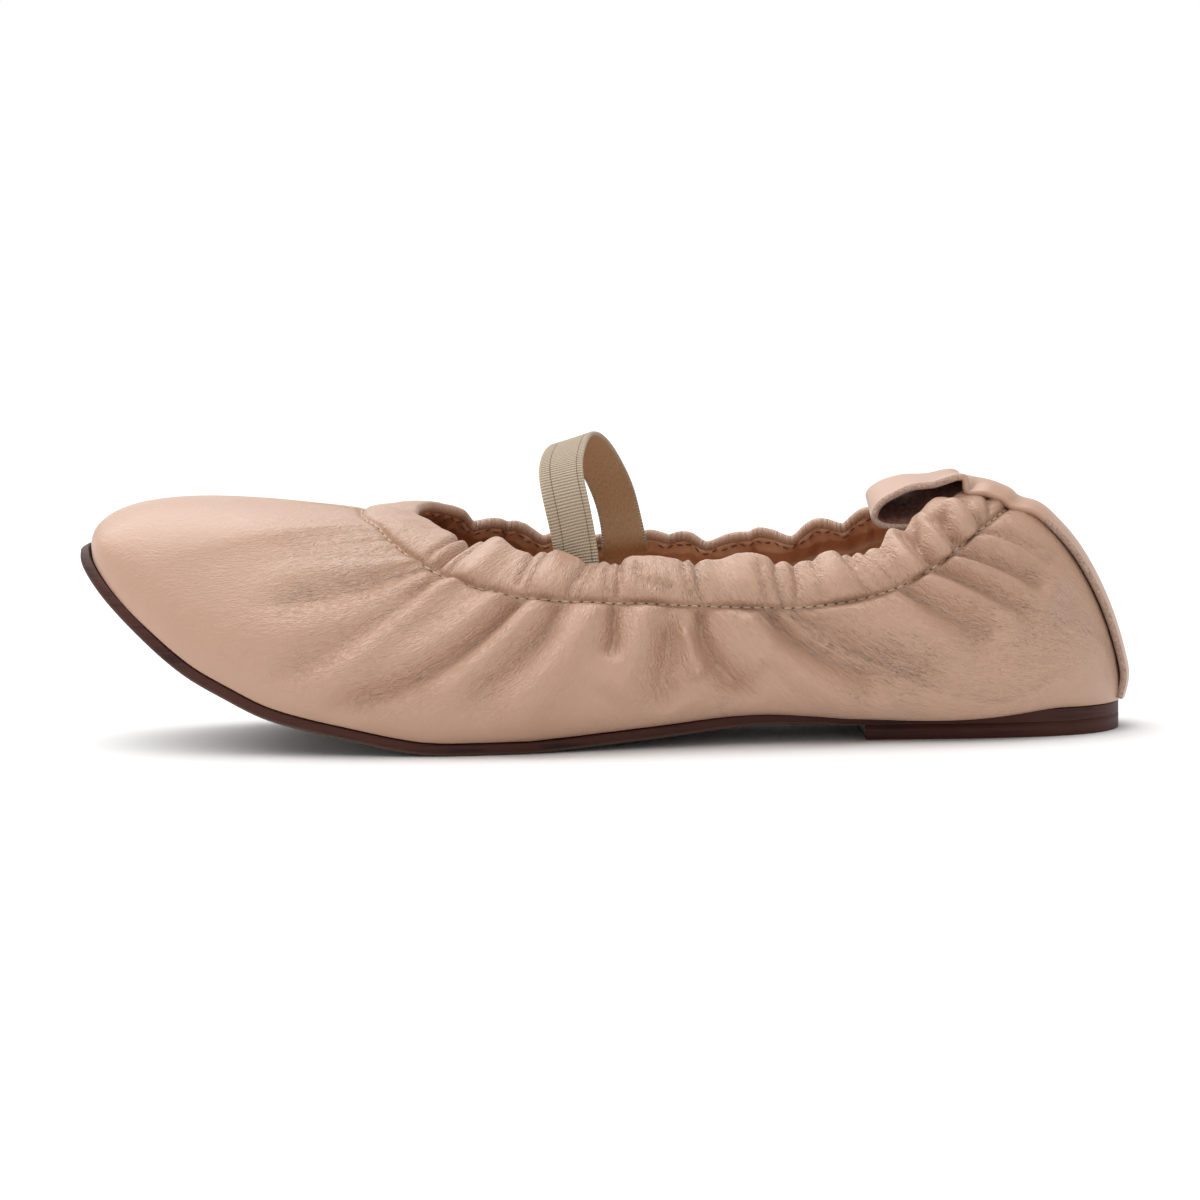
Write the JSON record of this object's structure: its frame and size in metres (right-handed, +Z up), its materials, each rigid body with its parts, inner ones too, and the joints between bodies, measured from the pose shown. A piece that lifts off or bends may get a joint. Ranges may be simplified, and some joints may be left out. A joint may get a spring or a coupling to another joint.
{
  "type": "ballet flat shoe",
  "caption": "Soft leather ballet flat with a gathered elastic topline, low heel, thin curled sole, instep elastic and a heel pull loop.",
  "frame": {"origin": "on the ground, under the middle of the shoe's box", "axes": "+X towards the heel, -X towards the toe, -Y the outer side of this left shoe, +Z up; ground at Z = 0"},
  "size_m": [0.2408, 0.0898, 0.0698],
  "materials": {
    "upper": "soft fine-grained nappa, nude beige, light sheen",
    "outsole": "dark brown sole leather, waxed edge",
    "heel": "dark brown stacked lift, waxed edge",
    "insole": "tan lining leather, matt",
    "strap": "cream ribbed woven elastic",
    "heel_strip": "nude beige leather strip with raw suede edges"
  },
  "bodies": {
    "root": {"upper": "upper", "outsole": "outsole", "heel": "heel", "insole": "insole", "strap": "strap", "heel_strip": "heel_strip"}
  },
  "joints": []
}
